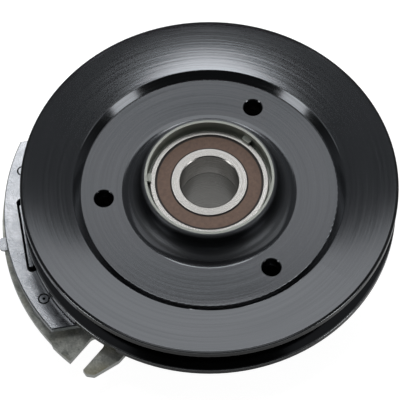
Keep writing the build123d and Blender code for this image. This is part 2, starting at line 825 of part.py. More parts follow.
with BuildPart() as pulley:
    with BuildSketch(Plane.XZ):
        with BuildLine():
            Polyline(
                (bearing_shoulder_radius, hub_back),
                (bearing_shoulder_radius, pulley_bearing.bottom),
                (pulley_bearing_radius, pulley_bearing.bottom),
                (pulley_bearing_radius, recess_height),
                (nose_recess_radius, recess_height),
                (nose_recess_radius, nose_top),
                (nose_radius, nose_top),
                (nose_radius, web_top),
                (web_outer_radius, web_top),
                (cone_inner_radius, rim_top - cone_inner_drop),
                (bead_radius, rim_top - cone_outer_drop),
                (bead_radius, rim_top),
                (pulley_radius, rim_top),
                (pulley_radius, groove_top),
                (groove_bottom_radius, groove_top - flank_rise),
                (groove_bottom_radius, groove_bottom + flank_rise),
                (pulley_radius, groove_bottom),
                (pulley_radius, rim_bottom),
                (back_recess_radius, rim_bottom),
                (back_recess_radius, roof_outer_height),
                (cone_inner_radius, roof_height),
                (web_outer_radius, web_bottom),
                (pulley_hub_back_radius, web_bottom),
                (pulley_hub_back_radius, hub_back),
                close=True,
            )
        make_face()
    revolve(axis=Axis.Z)
    fillet(turned_edges(pulley, nose_radius, web_top), nose_fillet)
    fillet(turned_edges(pulley, nose_radius, nose_top), nose_rounding)
    for height in (rim_top, groove_top, groove_bottom, rim_bottom):
        fillet(turned_edges(pulley, pulley_radius, height), rim_edge_radius)
    fillet(turned_edges(pulley, web_outer_radius, web_top), 2 * rim_edge_radius)
    fillet(turned_edges(pulley, cone_inner_radius, rim_top - cone_inner_drop), 2 * rim_edge_radius)
    with BuildSketch(Plane.XY.offset(spring_boss_bottom)):
        with Locations(*spring_rivet_places):
            Circle(spring_boss_radius)
    extrude(amount=web_top - web_thickness / 2 - spring_boss_bottom)
    with BuildSketch(Plane.XY.offset(spring_boss_bottom)):
        with Locations(*spring_rivet_places):
            Circle(rivet_radius)
    extrude(amount=spring_rivet_grip, mode=Mode.SUBTRACT)
    with BuildSketch(Plane.XY.offset(web_top)):
        with Locations(*armature_rivet_places):
            Circle(web_hole_radius)
    extrude(amount=-web_thickness - 1, mode=Mode.SUBTRACT)
    chamfer(
        pulley.edges().filter_by(GeomType.CIRCLE).filter_by(
            lambda edge: abs(edge.radius - web_hole_radius) < 0.01 and abs(edge.arc_center.Z - web_top) < 0.01
        ),
        web_hole_chamfer,
    )
    for azimuth in stake_azimuths:
        stake_middle = nose_recess_radius - stake_reach / 2 + 0.25
        stake_plane = Plane((0, 0, pulley_bearing_top), x_dir=(*polar(1, azimuth), 0), z_dir=(0, 0, 1))
        with BuildSketch(stake_plane):
            with Locations((stake_middle, 0)):
                RectangleRounded(stake_reach + 0.5, stake_width, 0.6)
        extrude(amount=stake_height)
save(pulley, "pulley")
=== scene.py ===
import math

import bmesh
import bpy
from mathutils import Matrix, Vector


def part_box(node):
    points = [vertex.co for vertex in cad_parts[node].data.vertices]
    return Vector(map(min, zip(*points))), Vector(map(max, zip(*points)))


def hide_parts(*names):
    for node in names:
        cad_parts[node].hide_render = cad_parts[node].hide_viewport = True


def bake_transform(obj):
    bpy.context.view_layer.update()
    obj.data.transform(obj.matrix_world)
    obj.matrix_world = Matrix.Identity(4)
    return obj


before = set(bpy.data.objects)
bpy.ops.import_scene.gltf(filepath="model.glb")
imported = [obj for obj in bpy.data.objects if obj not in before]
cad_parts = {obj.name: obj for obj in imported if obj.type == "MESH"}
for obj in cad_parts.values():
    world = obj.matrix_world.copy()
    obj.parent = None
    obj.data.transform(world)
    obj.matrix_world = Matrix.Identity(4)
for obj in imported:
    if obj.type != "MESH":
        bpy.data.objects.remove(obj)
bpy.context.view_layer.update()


# Coil housing. A cup drawn from low-carbon steel sheet, with a rounded bottom corner, that
# carries the coil's magnetic flux. It is black oxide coated all over before the coil goes in.

mm = 0.001
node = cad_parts


def linear(colour):
    """The linear RGBA of an sRGB hex colour."""
    parts = [int(colour[i:i + 2], 16) / 255 for i in (1, 3, 5)]
    return [p / 12.92 if p <= 0.04045 else ((p + 0.055) / 1.055) ** 2.4 for p in parts] + [1]


def add(tree, kind, inputs=None, **settings):
    """A new node with its settings, and each input given a value or linked to a socket."""
    made = tree.nodes.new(kind)
    for name, value in settings.items():
        setattr(made, name, value)
    for name, value in (inputs or {}).items():
        if isinstance(value, bpy.types.NodeSocket):
            tree.links.new(value, made.inputs[name])
        else:
            made.inputs[name].default_value = value
    return made


def new_finish(name, roughness, metallic):
    """A material of that name, its node tree and its surface shader."""
    finish = bpy.data.materials.new(name)
    finish.use_nodes = True
    surface = finish.node_tree.nodes["Principled BSDF"]
    surface.inputs["Roughness"].default_value = roughness
    surface.inputs["Metallic"].default_value = metallic
    return finish, finish.node_tree, surface


def coat(finish, *names):
    """Gives these CAD pieces the finish."""
    for name in names:
        for used in node[name].material_slots:
            used.material = finish


def round_axis(tree, drift=0.015):
    """A place that is almost the same all the way round the shaft, so marks run in rings."""
    place = add(tree, "ShaderNodeTexCoord").outputs["Object"]
    flat = add(tree, "ShaderNodeVectorMath", {0: place, 1: (1, 1, 0)}, operation="MULTIPLY")
    radius = add(tree, "ShaderNodeVectorMath", {0: flat.outputs[0]}, operation="LENGTH")
    height = add(tree, "ShaderNodeSeparateXYZ", {0: place}).outputs["Z"]
    ring = add(tree, "ShaderNodeCombineXYZ", {"X": radius.outputs["Value"], "Z": height})
    slow = add(tree, "ShaderNodeVectorMath", {0: place, "Scale": drift}, operation="SCALE")
    return add(tree, "ShaderNodeVectorMath", {0: ring.outputs[0], 1: slow.outputs[0]}).outputs[0]


# Black oxide on drawn steel: a thin dark film, satin, with faint orange peel from the drawing.
drawn_steel, tree, surface = new_finish("black_oxide_drawn_steel", 0.42, 0.5)
patch = add(tree, "ShaderNodeTexNoise",
            {"Vector": add(tree, "ShaderNodeTexCoord").outputs["Object"], "Scale": 1 / (14 * mm),
             "Detail": 3}).outputs["Fac"]
tree.links.new(add(tree, "ShaderNodeMix",
                   {"Factor": patch, "A": linear("#34363a"), "B": linear("#4a4c50")},
                   data_type="RGBA").outputs["Result"], surface.inputs["Base Color"])
tree.links.new(add(tree, "ShaderNodeMapRange",
                   {"Value": patch, "From Min": 0.3, "From Max": 0.7, "To Min": 0.36,
                    "To Max": 0.5}).outputs["Result"], surface.inputs["Roughness"])
tree.links.new(add(tree, "ShaderNodeBump",
                   {"Height": add(tree, "ShaderNodeTexNoise",
                                  {"Vector": add(tree, "ShaderNodeTexCoord").outputs["Object"],
                                   "Scale": 1 / (0.7 * mm)}).outputs["Fac"],
                    "Distance": 0.02 * mm}).outputs["Normal"], surface.inputs["Normal"])
coat(drawn_steel, "field_shell")


# Coil. Enamelled copper wire wound on a moulded nylon bobbin, potted with black epoxy that is
# poured level with the pole, and two insulated leads that go out to the terminals.

# Natural nylon, moulded: milky cream that lets a little light in, satin and barely uneven.
natural_nylon, tree, surface = new_finish("natural_nylon_moulded", 0.45, 0.0)
surface.inputs["Subsurface Weight"].default_value = 0.1
tree.links.new(add(tree, "ShaderNodeMix",
                   {"Factor": add(tree, "ShaderNodeTexNoise",
                                  {"Vector": add(tree, "ShaderNodeTexCoord").outputs["Object"],
                                   "Scale": 1 / (6 * mm)}).outputs["Fac"], "A": linear("#d8d0ba"),
                    "B": linear("#c9c0a8")}, data_type="RGBA").outputs["Result"],
               surface.inputs["Base Color"])
tree.links.new(add(tree, "ShaderNodeBump",
                   {"Height": add(tree, "ShaderNodeTexNoise",
                                  {"Vector": add(tree, "ShaderNodeTexCoord").outputs["Object"],
                                   "Scale": 1 / (0.5 * mm)}).outputs["Fac"],
                    "Distance": 0.01 * mm}).outputs["Normal"], surface.inputs["Normal"])
coat(natural_nylon, "coil_bobbin")

# Enamelled copper wire, wound: warm red-brown metal under clear varnish, in rows 0.9 mm apart.
enamelled_copper, tree, surface = new_finish("enamelled_copper_wire", 0.3, 1.0)
surface.inputs["Coat Weight"].default_value = 0.6
wire_pitch = 0.9 * mm
height = add(tree, "ShaderNodeSeparateXYZ",
             {0: add(tree, "ShaderNodeTexCoord").outputs["Object"]}).outputs["Z"]
turn = add(tree, "ShaderNodeMath", {0: height, 1: 2 * math.pi / wire_pitch},
           operation="MULTIPLY").outputs[0]
wave = add(tree, "ShaderNodeMath", {0: turn}, operation="SINE").outputs[0]
tree.links.new(add(tree, "ShaderNodeMix",
                   {"Factor": add(tree, "ShaderNodeTexNoise",
                                  {"Vector": round_axis(tree),
                                   "Scale": 1 / (1.2 * mm)}).outputs["Fac"], "A": linear("#a4522a"),
                    "B": linear("#c0713c")}, data_type="RGBA").outputs["Result"],
               surface.inputs["Base Color"])
tree.links.new(add(tree, "ShaderNodeBump",
                   {"Height": wave, "Distance": 0.15 * mm}).outputs["Normal"],
               surface.inputs["Normal"])
coat(enamelled_copper, "coil_winding")

# Black epoxy, cast: near black and shiny, with the slow waves that it sets with.
black_epoxy, tree, surface = new_finish("black_epoxy_cast", 0.28, 0.0)
ripple = add(tree, "ShaderNodeTexNoise",
             {"Vector": add(tree, "ShaderNodeTexCoord").outputs["Object"], "Scale": 1 / (9 * mm),
              "Detail": 3}).outputs["Fac"]
tree.links.new(add(tree, "ShaderNodeMix",
                   {"Factor": ripple, "A": linear("#17181a"), "B": linear("#26272a")},
                   data_type="RGBA").outputs["Result"], surface.inputs["Base Color"])
tree.links.new(add(tree, "ShaderNodeBump",
                   {"Height": ripple, "Distance": 0.25 * mm}).outputs["Normal"],
               surface.inputs["Normal"])
coat(black_epoxy, "coil_potting")

# Lead insulation, extruded: dull black and very slightly rough.
lead_rubber, tree, surface = new_finish("extruded_lead_insulation", 0.5, 0.0)
tree.links.new(add(tree, "ShaderNodeMix",
                   {"Factor": add(tree, "ShaderNodeTexNoise",
                                  {"Vector": add(tree, "ShaderNodeTexCoord").outputs["Object"],
                                   "Scale": 1 / (2 * mm)}).outputs["Fac"], "A": linear("#1b1b1c"),
                    "B": linear("#29292b")}, data_type="RGBA").outputs["Result"],
               surface.inputs["Base Color"])
tree.links.new(add(tree, "ShaderNodeBump",
                   {"Height": add(tree, "ShaderNodeTexNoise",
                                  {"Vector": add(tree, "ShaderNodeTexCoord").outputs["Object"],
                                   "Scale": 1 / (0.3 * mm)}).outputs["Fac"],
                    "Distance": 0.01 * mm}).outputs["Normal"], surface.inputs["Normal"])
coat(lead_rubber, "coil_leads")


# Terminals. A moulded black nylon shroud on the housing's side, with two tinned brass blades
# pressed into its floor, which a two-way socket slides over.

# Black nylon, moulded: matt, with the fine even texture of the mould.
black_nylon, tree, surface = new_finish("black_nylon_moulded", 0.5, 0.0)
tree.links.new(add(tree, "ShaderNodeMix",
                   {"Factor": add(tree, "ShaderNodeTexNoise",
                                  {"Vector": add(tree, "ShaderNodeTexCoord").outputs["Object"],
                                   "Scale": 1 / (5 * mm), "Detail": 3}).outputs["Fac"],
                    "A": linear("#1d1d1f"), "B": linear("#2b2b2e")},
                   data_type="RGBA").outputs["Result"], surface.inputs["Base Color"])
tree.links.new(add(tree, "ShaderNodeBump",
                   {"Height": add(tree, "ShaderNodeTexNoise",
                                  {"Vector": add(tree, "ShaderNodeTexCoord").outputs["Object"],
                                   "Scale": 1 / (0.35 * mm)}).outputs["Fac"],
                    "Distance": 0.025 * mm}).outputs["Normal"], surface.inputs["Normal"])
coat(black_nylon, "terminal_housing")

# Tinned brass, rolled: soft silver with brass showing through in streaks along the blade. The
# rolling lines are finer than this; they are drawn 0.25 mm apart so that they show.
tinned_brass, tree, surface = new_finish("tinned_brass_strip", 0.3, 1.0)
streak = add(tree, "ShaderNodeVectorMath",
             {0: add(tree, "ShaderNodeTexCoord").outputs["Object"], 1: (1, 0.05, 1)},
             operation="MULTIPLY").outputs[0]
rolled = add(tree, "ShaderNodeTexNoise",
             {"Vector": streak, "Scale": 1 / (0.25 * mm)}).outputs["Fac"]
tree.links.new(add(tree, "ShaderNodeMix",
                   {"Factor": rolled, "A": linear("#cfccc2"), "B": linear("#b9b3a2")},
                   data_type="RGBA").outputs["Result"], surface.inputs["Base Color"])
tree.links.new(add(tree, "ShaderNodeBump",
                   {"Height": rolled, "Distance": 0.01 * mm}).outputs["Normal"],
               surface.inputs["Normal"])
coat(tinned_brass, "terminal_blades")


# Mounting flange. Stamped from 3 mm steel and yellow-green chromate plated, with the fork that
# stops the field turning; its edges are sheared and keep the punch's vertical scores.

# Chromate over zinc: cloudy grey to white with a yellow tinge, flecked, and paler on the sheared
# edges. Its crystals are too fine to see, so the flecks are drawn 0.9 mm across.
chromate_steel, tree, surface = new_finish("chromate_plated_stamped_steel", 0.42, 0.45)
cloud = add(tree, "ShaderNodeTexNoise",
            {"Vector": add(tree, "ShaderNodeTexCoord").outputs["Object"], "Scale": 1 / (7 * mm),
             "Detail": 4, "Roughness": 0.65}).outputs["Fac"]
fleck = add(tree, "ShaderNodeTexNoise",
            {"Vector": add(tree, "ShaderNodeTexCoord").outputs["Object"], "Scale": 1 / (0.9 * mm),
             "Detail": 4, "Roughness": 0.7}).outputs["Fac"]
tint = add(tree, "ShaderNodeTexNoise",
           {"Vector": add(tree, "ShaderNodeTexCoord").outputs["Object"],
            "Scale": 1 / (16 * mm)}).outputs["Fac"]
mixed = add(tree, "ShaderNodeMath", {0: fleck, 1: 0.6, 2: cloud},
            operation="MULTIPLY_ADD").outputs[0]
grey = add(tree, "ShaderNodeMix",
           {"Factor": add(tree, "ShaderNodeMapRange",
                          {"Value": mixed, "From Min": 0.6, "From Max": 1.0, "To Min": 0,
                           "To Max": 1}).outputs["Result"], "A": linear("#7c807c"),
            "B": linear("#dfe1da")}, data_type="RGBA").outputs["Result"]
yellow = add(tree, "ShaderNodeMix",
             {"Factor": add(tree, "ShaderNodeMapRange",
                            {"Value": tint, "From Min": 0.45, "From Max": 0.7, "To Min": 0,
                             "To Max": 0.5}).outputs["Result"], "A": grey, "B": linear("#b5ac83")},
             data_type="RGBA").outputs["Result"]
facing = add(tree, "ShaderNodeSeparateXYZ",
             {0: add(tree, "ShaderNodeNewGeometry").outputs["True Normal"]}).outputs["Z"]
sheared = add(tree, "ShaderNodeMapRange",
              {"Value": add(tree, "ShaderNodeMath", {0: facing}, operation="ABSOLUTE").outputs[0],
               "From Min": 0.5, "From Max": 0.9, "To Min": 1, "To Max": 0}).outputs["Result"]
film = add(tree, "ShaderNodeMix", {"Factor": sheared, "A": yellow, "B": linear("#d3d6d2")},
           data_type="RGBA").outputs["Result"]
tree.links.new(film, surface.inputs["Base Color"])
tree.links.new(add(tree, "ShaderNodeMapRange",
                   {"Value": mixed, "From Min": 0.6, "From Max": 1.0, "To Min": 0.5,
                    "To Max": 0.3}).outputs["Result"], surface.inputs["Roughness"])
score = add(tree, "ShaderNodeVectorMath",
            {0: add(tree, "ShaderNodeTexCoord").outputs["Object"], 1: (1, 1, 0.08)},
            operation="MULTIPLY").outputs[0]
tree.links.new(add(tree, "ShaderNodeBump",
                   {"Height": add(tree, "ShaderNodeTexNoise",
                                  {"Vector": score, "Scale": 1 / (0.6 * mm),
                                   "Detail": 3}).outputs["Fac"],
                    "Distance": 0.06 * mm}).outputs["Normal"], surface.inputs["Normal"])
coat(chromate_steel, "mounting_flange")


# Field bearing and its rings. A sealed ball bearing between the rotor hub and the housing: two
# ground rings, balls in a nylon cage, and a moulded rubber seal on each side.

# Ground steel: bright, with a lay that runs round and stretches the highlights across the rings.
# The lines are far finer than this; they are drawn 0.45 mm apart so that they show.
ground_steel, tree, surface = new_finish("ground_bearing_steel", 0.2, 1.0)
surface.inputs["Anisotropic"].default_value = 0.5
tree.links.new(add(tree, "ShaderNodeTangent", direction_type="RADIAL", axis="Z").outputs[0],
               surface.inputs["Tangent"])
lay = add(tree, "ShaderNodeTexNoise",
          {"Vector": round_axis(tree), "Scale": 1 / (0.45 * mm), "Detail": 3}).outputs["Fac"]
tree.links.new(add(tree, "ShaderNodeMix",
                   {"Factor": add(tree, "ShaderNodeMapRange",
                                  {"Value": lay, "From Min": 0.3, "From Max": 0.7, "To Min": 0,
                                   "To Max": 1}).outputs["Result"], "A": linear("#bcbab6"),
                    "B": linear("#cfcdca")}, data_type="RGBA").outputs["Result"],
               surface.inputs["Base Color"])
tree.links.new(add(tree, "ShaderNodeMapRange",
                   {"Value": lay, "From Min": 0.3, "From Max": 0.7, "To Min": 0.16,
                    "To Max": 0.3}).outputs["Result"], surface.inputs["Roughness"])
tree.links.new(add(tree, "ShaderNodeBump",
                   {"Height": lay, "Distance": 0.006 * mm}).outputs["Normal"],
               surface.inputs["Normal"])
coat(ground_steel, "field_bearing_inner_ring", "field_bearing_outer_ring", "field_bearing_balls",
     "pulley_bearing_inner_ring", "pulley_bearing_outer_ring", "pulley_bearing_balls")

# Brown nitrile rubber, moulded: satin chocolate brown, a little mottled. Inside each edge, where
# the seal turns down, a dark band is painted on as shade.
rim_shade_width, lip_shade_width, shade_fade = 0.9, 0.45, 0.3
for bearing, lip, rim in (("field_bearing", 21.42, 28.66), ("pulley_bearing", 16.52, 23.76)):
    brown_rubber, tree, surface = new_finish("brown_nitrile_rubber_on_" + bearing, 0.42, 0.0)
    mottle = add(tree, "ShaderNodeTexNoise",
                 {"Vector": add(tree, "ShaderNodeTexCoord").outputs["Object"],
                  "Scale": 1 / (1.6 * mm), "Detail": 4, "Roughness": 0.65}).outputs["Fac"]
    moulded = add(tree, "ShaderNodeMix",
                  {"Factor": add(tree, "ShaderNodeMapRange",
                                 {"Value": mottle, "From Min": 0.3, "From Max": 0.7, "To Min": 0,
                                  "To Max": 1}).outputs["Result"], "A": linear("#5c483d"),
                   "B": linear("#6d574b")}, data_type="RGBA").outputs["Result"]
    out = add(tree, "ShaderNodeSeparateXYZ", {0: round_axis(tree, 0)}).outputs["X"]
    # Dark bands inside the rim and the lip: painted shade where the seal turns down.
    rim_shade = add(tree, "ShaderNodeMapRange",
                   {"Value": out, "From Min": (rim - rim_shade_width - shade_fade) * mm,
                    "From Max": (rim - rim_shade_width) * mm, "To Min": 0,
                    "To Max": 1}).outputs["Result"]
    lip_shade = add(tree, "ShaderNodeMapRange",
                   {"Value": out, "From Min": (lip + lip_shade_width) * mm,
                    "From Max": (lip + lip_shade_width + shade_fade) * mm, "To Min": 1,
                    "To Max": 0}).outputs["Result"]
    edge_shade = add(tree, "ShaderNodeMath", {0: rim_shade, 1: lip_shade}, operation="MAXIMUM").outputs[0]
    shaded_at_edges = add(tree, "ShaderNodeMix", {"Factor": edge_shade, "A": moulded, "B": linear("#1d1512")},
                data_type="RGBA").outputs["Result"]
    tree.links.new(shaded_at_edges, surface.inputs["Base Color"])
    tree.links.new(add(tree, "ShaderNodeMapRange",
                       {"Value": mottle, "From Min": 0.3, "From Max": 0.7, "To Min": 0.36,
                        "To Max": 0.5}).outputs["Result"], surface.inputs["Roughness"])
    tree.links.new(add(tree, "ShaderNodeBump",
                       {"Height": add(tree, "ShaderNodeTexNoise",
                                      {"Vector": add(tree, "ShaderNodeTexCoord").outputs["Object"],
                                       "Scale": 1 / (0.5 * mm), "Detail": 3}).outputs["Fac"],
                        "Distance": 0.02 * mm}).outputs["Normal"], surface.inputs["Normal"])
    coat(brown_rubber, bearing + "_front_seal", bearing + "_rear_seal")

# Glass-filled nylon, moulded: dull tan, mottled by the fibres near its surface. They are finer
# than this; the mottle is drawn 0.8 mm across so that it shows.
cage_nylon, tree, surface = new_finish("glass_filled_nylon", 0.55, 0.0)
fibre = add(tree, "ShaderNodeTexNoise",
            {"Vector": add(tree, "ShaderNodeTexCoord").outputs["Object"], "Scale": 1 / (0.8 * mm),
             "Detail": 4, "Roughness": 0.7}).outputs["Fac"]
tree.links.new(add(tree, "ShaderNodeMix",
                   {"Factor": fibre, "A": linear("#4c4434"), "B": linear("#6a5f48")},
                   data_type="RGBA").outputs["Result"], surface.inputs["Base Color"])
tree.links.new(add(tree, "ShaderNodeBump",
                   {"Height": fibre, "Distance": 0.03 * mm}).outputs["Normal"],
               surface.inputs["Normal"])
coat(cage_nylon, "field_bearing_cage", "pulley_bearing_cage")

# Spring steel, blued: smooth blue-grey that drifts a little towards straw.
spring_steel, tree, surface = new_finish("blued_spring_steel", 0.3, 1.0)
temper = add(tree, "ShaderNodeTexNoise",
             {"Vector": add(tree, "ShaderNodeTexCoord").outputs["Object"],
              "Scale": 1 / (8 * mm)}).outputs["Fac"]
tree.links.new(add(tree, "ShaderNodeMix",
                   {"Factor": add(tree, "ShaderNodeMapRange",
                                  {"Value": temper, "From Min": 0.3, "From Max": 0.7, "To Min": 0,
                                   "To Max": 1}).outputs["Result"], "A": linear("#6a6e76"),
                    "B": linear("#8c8a86")}, data_type="RGBA").outputs["Result"],
               surface.inputs["Base Color"])
tree.links.new(add(tree, "ShaderNodeBump",
                   {"Height": add(tree, "ShaderNodeTexNoise",
                                  {"Vector": add(tree, "ShaderNodeTexCoord").outputs["Object"],
                                   "Scale": 1 / (0.4 * mm)}).outputs["Fac"],
                    "Distance": 0.01 * mm}).outputs["Normal"], surface.inputs["Normal"])
coat(spring_steel, "hub_retaining_ring", "bearing_retaining_ring", "leaf_spring_1", "leaf_spring_2",
     "leaf_spring_3")


# Leaf springs. Three strips of the same blued steel, each riveted to a boss under the web at one
# end and to the armature at the other, that bend along their length as the armature is pulled in.

# The rivets' circle, the free length that bends and the strips it is cut into, then in degrees
# the first armature rivet, the turn to the next spring and the turn to a spring's other rivet.
rivet_circle, bend_length, strip_count = 46.4 * mm, 30.4 * mm, 24
first_rivet, spring_step, spring_span = 103.4, 120, 60
for index in range(3):
    name = f"leaf_spring_{index + 1}"
    height = sum(corner[2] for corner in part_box(name)) / 2
    turned = first_rivet + spring_step * index
    armature_end, pulley_end = [
        Vector((rivet_circle * math.cos(azimuth), rivet_circle * math.sin(azimuth), height))
        for azimuth in (math.radians(turned), math.radians(turned + spring_span))]
    along = (armature_end - pulley_end).normalized()
    middle = (armature_end + pulley_end) / 2
    strip = node[name].data.copy()
    strip.name = name + "_strip"
    cut = bmesh.new()
    cut.from_mesh(strip)
    for step in range(strip_count + 1):
        bmesh.ops.bisect_plane(cut, geom=cut.verts[:] + cut.edges[:] + cut.faces[:], plane_no=along,
                               plane_co=middle + along * bend_length * (step / strip_count - 0.5))
    cut.to_mesh(strip)
    cut.free()
    if "custom_normal" in strip.attributes:
        strip.attributes.remove(strip.attributes["custom_normal"])
    strip.set_sharp_from_angle(angle=math.radians(30))
    spring = bpy.data.objects.new(strip.name, strip)
    bpy.context.scene.collection.objects.link(spring)
    spring.data.materials.clear()
    spring.data.materials.append(spring_steel)
    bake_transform(spring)
    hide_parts(name)


# Rotor. A turned hub pressed into a slotted steel disc, with a ring of friction lining let into
# the disc's face; it turns with the crankshaft.

# Turned steel: plain grey metal with the tool's fine rings. The feed is finer than this; it is
# drawn 0.5 mm wide so that it shows.
turned_steel, tree, surface = new_finish("turned_low_carbon_steel", 0.3, 1.0)
feed = add(tree, "ShaderNodeTexNoise",
           {"Vector": round_axis(tree), "Scale": 1 / (0.5 * mm)}).outputs["Fac"]
tree.links.new(add(tree, "ShaderNodeMix",
                   {"Factor": add(tree, "ShaderNodeMapRange",
                                  {"Value": feed, "From Min": 0.3, "From Max": 0.7, "To Min": 0,
                                   "To Max": 1}).outputs["Result"], "A": linear("#9d9c99"),
                    "B": linear("#b8b7b4")}, data_type="RGBA").outputs["Result"],
               surface.inputs["Base Color"])
tree.links.new(add(tree, "ShaderNodeMapRange",
                   {"Value": feed, "From Min": 0.3, "From Max": 0.7, "To Min": 0.24,
                    "To Max": 0.38}).outputs["Result"], surface.inputs["Roughness"])
tree.links.new(add(tree, "ShaderNodeBump",
                   {"Height": feed, "Distance": 0.02 * mm}).outputs["Normal"],
               surface.inputs["Normal"])
coat(turned_steel, "rotor_hub", "rotor_disc", "armature")

# Friction lining, moulded: matt brown-black, flecked with paler filler and coarse to the touch.
friction_lining, tree, surface = new_finish("moulded_friction_lining", 0.85, 0.0)
filler = add(tree, "ShaderNodeTexNoise",
             {"Vector": add(tree, "ShaderNodeTexCoord").outputs["Object"], "Scale": 1 / (1.1 * mm),
              "Detail": 5, "Roughness": 0.7}).outputs["Fac"]
tree.links.new(add(tree, "ShaderNodeMix",
                   {"Factor": add(tree, "ShaderNodeMapRange",
                                  {"Value": filler, "From Min": 0.3, "From Max": 0.7, "To Min": 0,
                                   "To Max": 1}).outputs["Result"], "A": linear("#2f2822"),
                    "B": linear("#5c4d3e")}, data_type="RGBA").outputs["Result"],
               surface.inputs["Base Color"])
tree.links.new(add(tree, "ShaderNodeBump",
                   {"Height": filler, "Distance": 0.12 * mm}).outputs["Normal"],
               surface.inputs["Normal"])
coat(friction_lining, "friction_ring")


# Brake. A stamped plate over a bracket and a re-gapping shim, all zinc plated, held to the
# flange on two spacers by two headed rivets.

# Zinc plate: bright and silvery, softly clouded, and duller on sheared edges. Between the heights
# given for each it is painted near black as shade: the bracket in the slot, the rivets under the
# plate. Its crystals are drawn 3.5 mm across, coarser than real, so that they show.
for name, shade_low, shade_high, pieces in (
        ("zinc_plated_stamped_steel", 0, 0.01,
         ("brake_plate", "regap_shim", "brake_spacers", "armature_rivets", "spring_rivets")),
        ("zinc_plated_steel_painted_shade_in_slot", 30, 34.75, ("brake_bracket",)),
        ("zinc_plated_rivet_steel_painted_shade", 30, 37.1, ("brake_rivets",))):
    zinc_plate, tree, surface = new_finish(name, 0.22, 1.0)
    spangle = add(tree, "ShaderNodeTexVoronoi",
                  {"Vector": add(tree, "ShaderNodeTexCoord").outputs["Object"],
                   "Scale": 1 / (3.5 * mm)}).outputs["Color"]
    flake = add(tree, "ShaderNodeSeparateColor", {0: spangle}).outputs[0]
    bloom = add(tree, "ShaderNodeTexNoise",
                {"Vector": add(tree, "ShaderNodeTexCoord").outputs["Object"], "Scale": 1 / (7 * mm),
                 "Detail": 4, "Roughness": 0.6}).outputs["Fac"]
    tone = add(tree, "ShaderNodeMath", {0: flake, 1: 0.25, 2: bloom},
               operation="MULTIPLY_ADD").outputs[0]
    bright = add(tree, "ShaderNodeMix",
                 {"Factor": add(tree, "ShaderNodeMapRange",
                                {"Value": tone, "From Min": 0.35, "From Max": 0.9, "To Min": 0,
                                 "To Max": 1}).outputs["Result"], "A": linear("#e2e6ed"),
                  "B": linear("#f3f5fa")}, data_type="RGBA").outputs["Result"]
    facing = add(tree, "ShaderNodeSeparateXYZ",
                 {0: add(tree, "ShaderNodeNewGeometry").outputs["True Normal"]}).outputs["Z"]
    upright = add(tree, "ShaderNodeMapRange",
                  {"Value": add(tree, "ShaderNodeMath", {0: facing},
                                operation="ABSOLUTE").outputs[0], "From Min": 0.9, "From Max": 0.97,
                   "To Min": 1, "To Max": 0}).outputs["Result"]
    sheared = add(tree, "ShaderNodeMix", {"Factor": upright, "A": bright, "B": linear("#a3a7aa")},
                  data_type="RGBA").outputs["Result"]
    up = add(tree, "ShaderNodeSeparateXYZ",
             {0: add(tree, "ShaderNodeTexCoord").outputs["Object"]}).outputs["Z"]
    # Between shade_low and shade_high the zinc is painted near black: painted shade.
    above = add(tree, "ShaderNodeMapRange",
                {"Value": up, "From Min": shade_low * mm, "From Max": (shade_low + 0.05) * mm,
                 "To Min": 0, "To Max": 1}).outputs["Result"]
    below = add(tree, "ShaderNodeMapRange",
                {"Value": up, "From Min": (shade_high - 0.05) * mm, "From Max": shade_high * mm,
                 "To Min": 1, "To Max": 0}).outputs["Result"]
    painted_shade = add(tree, "ShaderNodeMath", {0: above, 1: below}, operation="MULTIPLY").outputs[0]
    plated = add(tree, "ShaderNodeMix", {"Factor": painted_shade, "A": sheared, "B": linear("#1c1d1e")},
                 data_type="RGBA").outputs["Result"]
    tree.links.new(plated, surface.inputs["Base Color"])
    tree.links.new(add(tree, "ShaderNodeMapRange",
                       {"Value": tone, "From Min": 0.35, "From Max": 0.9, "To Min": 0.3,
                        "To Max": 0.17}).outputs["Result"], surface.inputs["Roughness"])
    tree.links.new(add(tree, "ShaderNodeBump",
                       {"Height": add(tree, "ShaderNodeTexNoise",
                                      {"Vector": add(tree, "ShaderNodeTexCoord").outputs["Object"],
                                       "Scale": 1 / (1.3 * mm), "Detail": 3}).outputs["Fac"],
                        "Distance": 0.02 * mm}).outputs["Normal"], surface.inputs["Normal"])
    coat(zinc_plate, *pieces)


# Pulley. Turned from a steel blank and black oxide coated, with the belt groove in its rim, three
# holes in its web and a raised nose that holds the bearing.

# Black oxide on turned steel: dark and satin, with the lathe's rings showing through. The nose's
# face is nearly bare. The groove and the rim's bead are painted near black as shade, and the rim's
# corners and the bead's wall are painted pale as patchy highlights. The feed is finer than this;
# it is drawn 0.8 mm wide so that it shows.
black_oxide, tree, surface = new_finish("black_oxide_turned_steel", 0.12, 1.0)
surface.inputs["Anisotropic"].default_value = 0.35
tree.links.new(add(tree, "ShaderNodeTangent", direction_type="RADIAL", axis="Z").outputs[0],
               surface.inputs["Tangent"])
lathe = add(tree, "ShaderNodeTexNoise",
            {"Vector": round_axis(tree), "Scale": 1 / (0.8 * mm)}).outputs["Fac"]
oxide = add(tree, "ShaderNodeMix",
            {"Factor": add(tree, "ShaderNodeMapRange",
                           {"Value": lathe, "From Min": 0.3, "From Max": 0.7, "To Min": 0,
                            "To Max": 1}).outputs["Result"], "A": linear("#5b5d60"),
             "B": linear("#636568")}, data_type="RGBA").outputs["Result"]
shaft_place = add(tree, "ShaderNodeSeparateXYZ", {0: round_axis(tree, 0)})
out, up = shaft_place.outputs["X"], shaft_place.outputs["Z"]
nose_radius, nose_foot, groove_low, groove_high, groove_bottom = (
    28.15 * mm, 57.2 * mm, 42.7 * mm, 56.6 * mm, 69 * mm)
